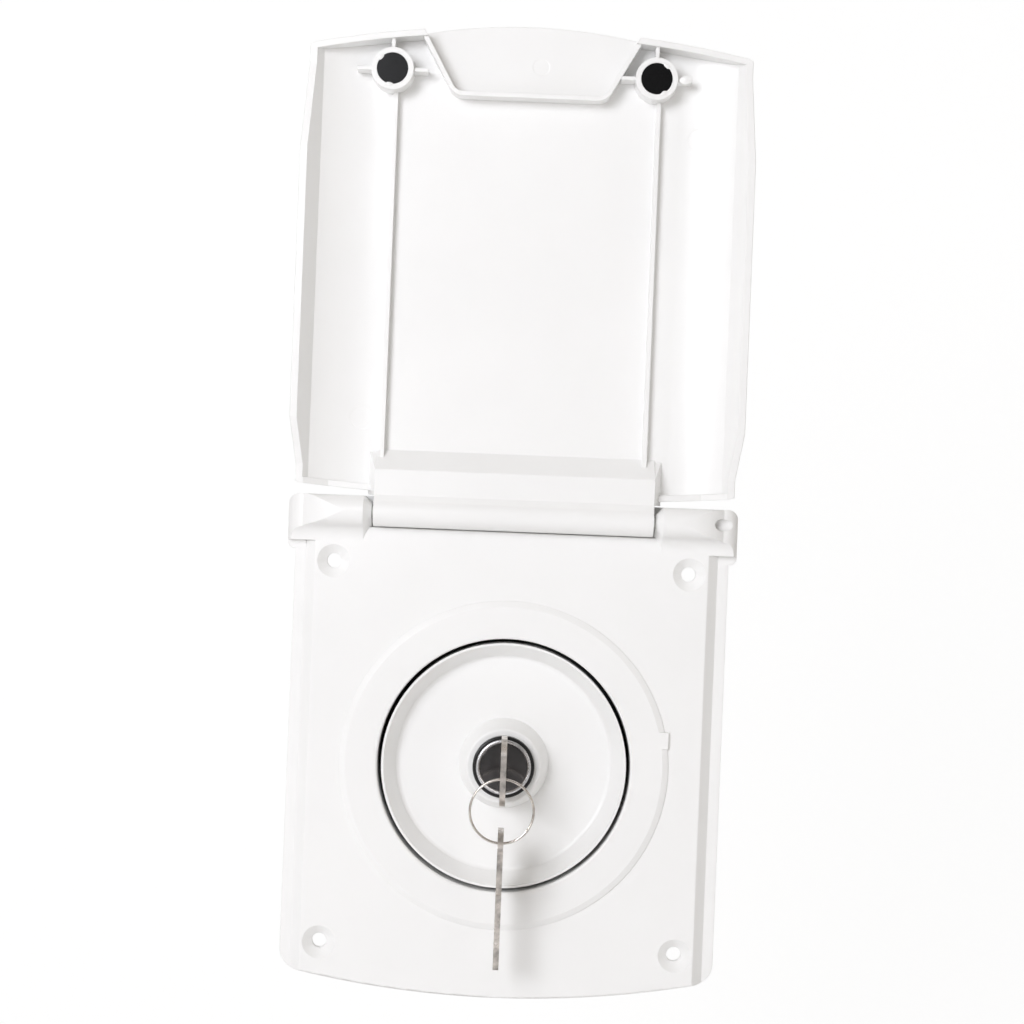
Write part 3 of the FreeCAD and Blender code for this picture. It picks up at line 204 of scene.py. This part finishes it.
def moulded_rubber(colour):
    """Black EPDM seal: dull, with a dusty bloom in patches."""
    material, tree, skin = blank("moulded_epdm_rubber")
    place = add(tree, "TexCoord").outputs["Object"]
    bloom = add(tree, "TexNoise", {"Scale": 300.0, "Detail": 5.0}, {"Vector": place})
    shade = tint(tree, bloom.outputs[0], [(0.4, colour), (0.8, scaled(colour, 2.2))])
    relief = add(tree, "Bump", {"Strength": 0.3, "Distance": 0.02 * MM}, {"Height": bloom.outputs[0]})
    tree.links.new(shade, skin.inputs["Base Color"])
    tree.links.new(relief.outputs[0], skin.inputs["Normal"])
    skin.inputs["Roughness"].default_value = 0.62
    skin.inputs["IOR"].default_value = 1.52
    return material


def dress(names, material):
    """Give CAD nodes their finish."""
    for name in names:
        slots = NODES[name].data.materials
        slots.clear()
        slots.append(material)


def piece(name, verts, faces, material, body, stands_for=None, smooth=True):
    """A new mesh that rides on a body, and stands for a CAD node if one is named."""
    mesh = bpy.data.meshes.new(name)
    mesh.from_pydata(verts, [], faces)
    mesh.update()
    if smooth:
        mesh.shade_smooth()
    mesh.materials.append(material)
    thing = bpy.data.objects.new(name, mesh)
    bpy.context.scene.collection.objects.link(thing)
    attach(thing, body)
    if stands_for:
        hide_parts(stands_for)
    return thing


class HatchFinish(bpy.types.PropertyGroup):
    """Colours of the hatch's finishes."""

    plastic: FloatVectorProperty(name="Plastic", description="Colour of the moulded ABS", subtype="COLOR",
                                 size=3, default=linear("#F6F6F5"))
    coat: FloatVectorProperty(name="Black coat", description="Colour of the lock's bezel", subtype="COLOR",
                              size=3, default=linear("#101011"))
    nickel: FloatVectorProperty(name="Nickel", description="Colour of the plated keys and ring",
                                subtype="COLOR", size=3, default=linear("#E6DFD8"))
    zinc: FloatVectorProperty(name="Zinc", description="Colour of the plated steel", subtype="COLOR",
                              size=3, default=linear("#C6C7C4"))
    rubber: FloatVectorProperty(name="Rubber", description="Colour of the cap's seal", subtype="COLOR",
                                size=3, default=linear("#1A1A1A"))


class HatchSizes(bpy.types.PropertyGroup):
    """Sizes of the pieces that are made here."""

    ring_wire: FloatProperty(name="Ring wire", description="Width of one turn of the split ring's wire",
                             default=0.52 * MM, unit="LENGTH")


class HatchStudio(bpy.types.PropertyGroup):
    """The camera and lights."""

    distance: FloatProperty(name="Distance", description="From the camera to the wall", default=0.8,
                            unit="LENGTH")
    scale: FloatProperty(name="Scale", description="Size of one pixel of the picture on the wall",
                         default=0.3565 * MM, unit="LENGTH")
    roll: FloatProperty(name="Roll", description="How far the hatch leans to the right in the picture",
                        default=math.radians(2.3), unit="ROTATION")


class HATCH_OT_mouldings(bpy.types.Operator):
    """Dress the plate, the neck, the cap and the cover in moulded plastic"""

    bl_idname = "hatch.mouldings"
    bl_label = "White mouldings"

    def execute(self, context):
        colour = tuple(context.scene.hatch_finish.plastic)
        dress(["base_plate", "filler_neck", "filler_cap"], moulded_abs(colour))
        marks = [(-0.0555, 0.121, 4 * MM), (0.0605, 0.224, 4 * MM), (0.0035, 0.248, 3 * MM)]
        dress(["lid"], moulded_abs(colour, marks, "moulded_white_abs_cover"))
        return {"FINISHED"}


class HATCH_OT_lock(bpy.types.Operator):
    """Dress the lock in its black coat, bright ring and plated plug"""

    bl_idname = "hatch.lock"
    bl_label = "Lock"

    def execute(self, context):
        finish = context.scene.hatch_finish
        dress(["lock_body"], black_coat("black_coated_zinc", tuple(finish.coat), 0.28))
        dress(["lock_trim_ring"], plated_metal("bright_nickel_trim", linear("#E4E4E6"), 0.22))
        # The plug's dark grey tone is painted reflection of the dark room, laid into the plated zinc's
        # colour.
        dress(["lock_plug"], plated_metal("plated_zinc_painted_dark_reflection", linear("#7C7A7B"), 0.12))
        dress(["lock_wafer_" + str(n) for n in range(1, 6)],
              plated_metal("stamped_brass", linear("#C9A869"), 0.3))
        return {"FINISHED"}


class HATCH_OT_fixings(bpy.types.Operator):
    """Dress the pin, keepers, washers, nut, bar and screw in zinc, and the seal in rubber"""

    bl_idname = "hatch.fixings"
    bl_label = "Fixings and seal"

    def execute(self, context):
        finish = context.scene.hatch_finish
        zinc = plated_metal("zinc_plated_steel", tuple(finish.zinc), 0.3, dark=0.75)
        dress(["hinge_pin", "keeper_left", "keeper_right", "lock_washer", "lock_nut", "locking_bar",
               "bar_washer", "bar_screw"], zinc)
        dress(["cap_seal"], moulded_rubber(tuple(finish.rubber)))
        dress(["lid_magnet_left", "lid_magnet_right"], black_coat("pressed_ferrite", linear("#070708"), 0.22))
        return {"FINISHED"}


class HATCH_OT_keys(bpy.types.Operator):
    """Dress the two keys in worn nickel, darker in patches that are partly wear and partly painted reflection
    """

    bl_idname = "hatch.keys"
    bl_label = "Keys"

    def execute(self, context):
        nickel = tuple(context.scene.hatch_finish.nickel)
        # The keys' darker patches (dark share 0.42) are partly wear and partly painted reflection of the dark
        # room behind the camera.
        dress(["key", "spare_key"], plated_metal("worn_nickel_with_painted_reflection", nickel, 0.26, dark=0.42))
        return {"FINISHED"}


class HATCH_OT_split_ring(bpy.types.Operator):
    """Wind the split ring from two turns of flat wire"""

    bl_idname = "hatch.split_ring"
    bl_label = "Split ring"

    def execute(self, context):
        low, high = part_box("key_ring")
        centre = (low + high) / 2
        thick = (high.y - low.y) / 2
        radius = (high.x - low.x) / 2 - thick
        wire = context.scene.hatch_sizes.ring_wire
        verts, faces = [], []
        total = int(RING_STEPS * RING_TURNS)
        for i in range(total + 1):
            angle = 2 * math.pi * i / RING_STEPS - RING_START
            # The wire crosses from its first turn to its second over an eighth of a turn.
            along = min(max((i / RING_STEPS - RING_CROSS_START) / RING_CROSS_SPAN, 0.0), 1.0)
            side = (along * along * (3 - 2 * along) - 0.5) * (2 * thick - wire)
            for j in range(RING_SIDES):
                turn = 2 * math.pi * j / RING_SIDES
                out = math.cos(turn)
                up = math.sin(turn)
                off = side + math.copysign(abs(up) ** RING_SQUARENESS, up) * wire / 2
                # Together the two turns are as round as one thick wire, and turn freely in the keys' holes.
                room = math.sqrt(max(thick * thick - off * off, 0.0))
                r = radius + math.copysign(min(abs(out) ** RING_SQUARENESS * thick, room), out) * RING_SHARE
                verts.append((centre.x + r * math.cos(angle), centre.y + off, centre.z + r * math.sin(angle)))
        for i in range(total):
            low, high = i * RING_SIDES, (i + 1) * RING_SIDES
            for j in range(RING_SIDES):
                k = (j + 1) % RING_SIDES
                faces.append((low + j, low + k, high + k, high + j))
        faces.append(tuple(range(RING_SIDES))[::-1])
        faces.append(tuple(total * RING_SIDES + j for j in range(RING_SIDES)))
        nickel = tuple(context.scene.hatch_finish.nickel)
        piece("split_ring", verts, faces, plated_metal("nickel_plated_wire", nickel, 0.18, dark=0.6),
              "ring", "key_ring")
        return {"FINISHED"}


def melted_lump(centre, turn, long, wide, proud, seed):
    """The points and faces of a low lump of melted plastic that stands out towards -Y, a little uneven."""
    rng = random.Random(seed)
    rings, around = 6, 20
    waves = [(k, rng.uniform(0.0, 0.10), rng.uniform(0.0, 6.28)) for k in (2, 3, 5)]
    verts = [(centre[0], centre[1] - proud, centre[2])]
    faces = []
    for i in range(1, rings + 1):
        lift = proud * math.cos(math.pi / 2 * i / rings)
        for j in range(around):
            angle = 2 * math.pi * j / around
            reach = i / rings * (1.0 + sum(a * math.sin(k * angle + b) for k, a, b in waves))
            x, z = long * reach * math.cos(angle), wide * reach * math.sin(angle)
            verts.append((centre[0] + x * math.cos(turn) - z * math.sin(turn), centre[1] - lift,
                          centre[2] + x * math.sin(turn) + z * math.cos(turn)))
    for j in range(around):
        k = (j + 1) % around
        faces.append((0, 1 + j, 1 + k))
        for i in range(rings - 1):
            low, high = 1 + i * around, 1 + (i + 1) * around
            faces.append((low + j, high + j, high + k, low + k))
    return verts, faces


class HATCH_OT_stakes(bpy.types.Operator):
    """Melt the small stakes that hold the magnets, and the lump on the right-hand gusset"""

    bl_idname = "hatch.stakes"
    bl_label = "Melted stakes"

    def execute(self, context):
        plastic = moulded_abs(tuple(context.scene.hatch_finish.plastic), name="melted_white_abs")
        verts, faces = [], []
        lumps = []
        for node, turns in (("lid_magnet_left", (138, -98)), ("lid_magnet_right", (52, -62))):
            low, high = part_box(node)
            x, y, z = (low.x + high.x) / 2, low.y, (low.z + high.z) / 2
            radius = (high.x - low.x) / 2
            for degrees in turns:
                turn = math.radians(degrees)
                spot = (x + radius * 1.04 * math.cos(turn), y + 0.02 * MM, z + radius * 1.04 * math.sin(turn))
                lumps.append((spot, turn + math.pi / 2, 1.5 * MM, 0.75 * MM, 0.35 * MM))
        lumps.append(((x + 10.4 * MM, y + 1.15 * MM, z + 0.2 * MM), 0.2, 2.3 * MM, 1.5 * MM, 0.5 * MM))
        for number, lump in enumerate(lumps):
            points, quads = melted_lump(*lump, seed=number)
            base = len(verts)
            verts += points
            faces += [tuple(base + k for k in quad) for quad in quads]
        piece("magnet_stakes", verts, faces, plastic, "lid")
        return {"FINISHED"}


class HATCH_OT_stage(bpy.types.Operator):
    """Set the pale studio: floor, backdrop, lights, world and camera"""

    bl_idname = "hatch.stage"
    bl_label = "Stage"

    def execute(self, context):
        studio = context.scene.hatch_studio
        scene = context.scene
        scene.view_settings.view_transform = "Standard"

        paper, tree, skin = blank("white_paper_sweep")
        grain = add(tree, "TexNoise", {"Scale": 900.0}, {"Vector": add(tree, "TexCoord").outputs["Object"]})
        tree.links.new(tint(tree, grain.outputs[0], [(0.0, linear("#F2F2F2")), (1.0, linear("#F8F8F8"))]),
                       skin.inputs["Base Color"])
        skin.inputs["Roughness"].default_value = 0.9
        sweep = []
        for i in range(PAPER_STEPS + 1):
            turn = math.radians(90 * i / PAPER_STEPS)
            sweep.append((PAPER_BACK - PAPER_BEND + PAPER_BEND * math.sin(turn),
                          PAPER_FLOOR + PAPER_BEND - PAPER_BEND * math.cos(turn)))
        line = [(PAPER_FRONT, PAPER_FLOOR)] + sweep + [(PAPER_BACK, PAPER_TOP)]
        verts = [(x, y, z) for y, z in line for x in (-PAPER_HALF_WIDTH, PAPER_HALF_WIDTH)]
        faces = [(2 * i, 2 * i + 1, 2 * i + 3, 2 * i + 2) for i in range(len(line) - 1)]
        mesh = bpy.data.meshes.new("paper_sweep")
        mesh.from_pydata(verts, [], faces)
        mesh.shade_smooth()
        mesh.materials.append(paper)
        floor = bpy.data.objects.new("paper_sweep", mesh)
        scene.collection.objects.link(floor)
        # The camera sees the paper as plain white, also through anything clear.
        path = add(tree, "LightPath")
        seen = add(tree, "Math", {"operation": "MAXIMUM"},
                   {0: path.outputs["Is Camera Ray"], 1: path.outputs["Is Transmission Ray"]})
        glow = add(tree, "Emission", {"Color": (1.0, 1.0, 1.0, 1.0), "Strength": 1.06})
        # A small part of the paper's own shade stays, so that it keeps the object's shadow.
        share = add(tree, "Math", {"operation": "MULTIPLY", 1: 0.85}, {0: seen.outputs[0]})
        mix = add(tree, "MixShader", links={0: share.outputs[0], 1: skin.outputs[0], 2: glow.outputs[0]})
        tree.links.new(mix.outputs[0], tree.nodes["Material Output"].inputs[0])

        world = bpy.data.worlds.new("studio")
        scene.world = world
        world.use_nodes = True
        tree = world.node_tree
        tree.nodes.clear()
        out = add(tree, "OutputWorld")
        room = add(tree, "Background", {"Strength": 0.485})
        # Behind the camera the room is dark, which is what polished faces turned to it mirror.
        way = add(tree, "TexCoord").outputs["Generated"]
        aim = add(tree, "VectorMath", {"operation": "DOT_PRODUCT", 1: (0.0, -1.0, 0.0)}, {0: way})
        shade = tint(tree, aim.outputs["Value"], [(0.80, linear("#FFFAF4")), (0.97, linear("#5F5E5D"))])
        tree.links.new(shade, room.inputs["Color"])
        tree.links.new(room.outputs[0], out.inputs[0])

        lamps = (
            ("key_light", (-0.72, -1.60, 0.52), 0.80, 18.0, "#F9FAFF"),
            ("fill_light", (1.0, -1.2, 0.3), 1.2, 1.5, "#FFFAF4"),
            ("back_light", (0.3, 1.6, 1.2), 1.2, 9.0, "#FFFFFF"),
        )
        for name, spot, size, power, colour in lamps:
            lamp = bpy.data.lights.new(name, "AREA")
            lamp.shape = "DISK"
            lamp.size = size
            lamp.energy = power
            lamp.color = linear(colour)
            thing = bpy.data.objects.new(name, lamp)
            thing.location = spot
            thing.rotation_euler = (Vector(LAMPS_AIM) - Vector(spot)).to_track_quat("-Z", "Y").to_euler()
            scene.collection.objects.link(thing)

        lens = bpy.data.cameras.new("camera")
        lens.sensor_width = SENSOR_MM
        lens.lens = SENSOR_MM * studio.distance / (PICTURE_PIXELS * studio.scale)
        lens.clip_start = 0.01
        camera = bpy.data.objects.new("camera", lens)
        camera.location = (CAMERA_X, -studio.distance, CAMERA_Z)
        camera.rotation_euler = (math.pi / 2, -studio.roll, 0.0)
        scene.collection.objects.link(camera)
        scene.camera = camera
        return {"FINISHED"}


class HATCH_PT_panel(bpy.types.Panel):
    """The hatch's steps and settings"""

    bl_label = "Water filler hatch"
    bl_idname = "HATCH_PT_panel"
    bl_space_type = "VIEW_3D"
    bl_region_type = "UI"
    bl_category = "Hatch"

    def draw(self, context):
        for group in ("hatch_finish", "hatch_sizes", "hatch_studio"):
            settings = getattr(context.scene, group)
            for name in settings.__annotations__:
                self.layout.prop(settings, name)
        for step in STEPS:
            self.layout.operator(step.bl_idname)


STEPS = (HATCH_OT_stage, HATCH_OT_mouldings, HATCH_OT_lock, HATCH_OT_fixings, HATCH_OT_keys,
         HATCH_OT_split_ring, HATCH_OT_stakes)
CLASSES = (HatchFinish, HatchSizes, HatchStudio) + STEPS + (HATCH_PT_panel,)


def register():
    for kind in CLASSES:
        bpy.utils.register_class(kind)
    bpy.types.Scene.hatch_finish = PointerProperty(type=HatchFinish)
    bpy.types.Scene.hatch_sizes = PointerProperty(type=HatchSizes)
    bpy.types.Scene.hatch_studio = PointerProperty(type=HatchStudio)


def unregister():
    del bpy.types.Scene.hatch_studio
    del bpy.types.Scene.hatch_sizes
    del bpy.types.Scene.hatch_finish
    for kind in reversed(CLASSES):
        bpy.utils.unregister_class(kind)


def main():
    register()
    for step in STEPS:
        group, name = step.bl_idname.split(".")
        getattr(getattr(bpy.ops, group), name)()


if __name__ == "__main__":
    main()
